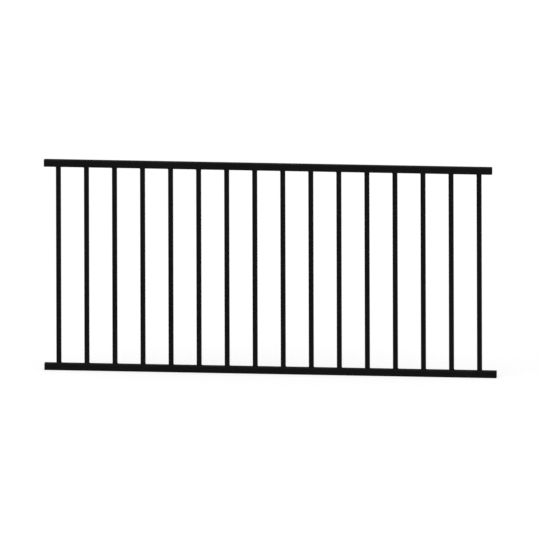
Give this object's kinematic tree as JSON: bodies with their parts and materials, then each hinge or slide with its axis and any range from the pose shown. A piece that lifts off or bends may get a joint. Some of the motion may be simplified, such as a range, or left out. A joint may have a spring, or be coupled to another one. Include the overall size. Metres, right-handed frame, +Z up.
{
  "type": "deck railing section",
  "caption": "Welded steel deck railing section: square-tube balusters between a top and a bottom square-tube rail with open ends, black powder coat, hung between two posts.",
  "frame": {"origin": "centre of the bottom rail's left end face, where a post bracket holds it", "axes": "+X along the rails to the right end, -Y the front, +Z up along the balusters"},
  "size_m": [1.841, 0.0286, 0.8636],
  "materials": {
    "black_powder_coat": "fine-textured, dull black powder coat on steel"
  },
  "bodies": {
    "root": {"top_rail": "black_powder_coat", "bottom_rail": "black_powder_coat", "baluster_01": "black_powder_coat", "baluster_02": "black_powder_coat", "baluster_03": "black_powder_coat", "baluster_04": "black_powder_coat", "baluster_05": "black_powder_coat", "baluster_06": "black_powder_coat", "baluster_07": "black_powder_coat", "baluster_08": "black_powder_coat", "baluster_09": "black_powder_coat", "baluster_10": "black_powder_coat", "baluster_11": "black_powder_coat", "baluster_12": "black_powder_coat", "baluster_13": "black_powder_coat", "baluster_14": "black_powder_coat", "baluster_15": "black_powder_coat", "baluster_16": "black_powder_coat", "top_rail_welds": "black_powder_coat", "bottom_rail_welds": "black_powder_coat"}
  },
  "joints": []
}
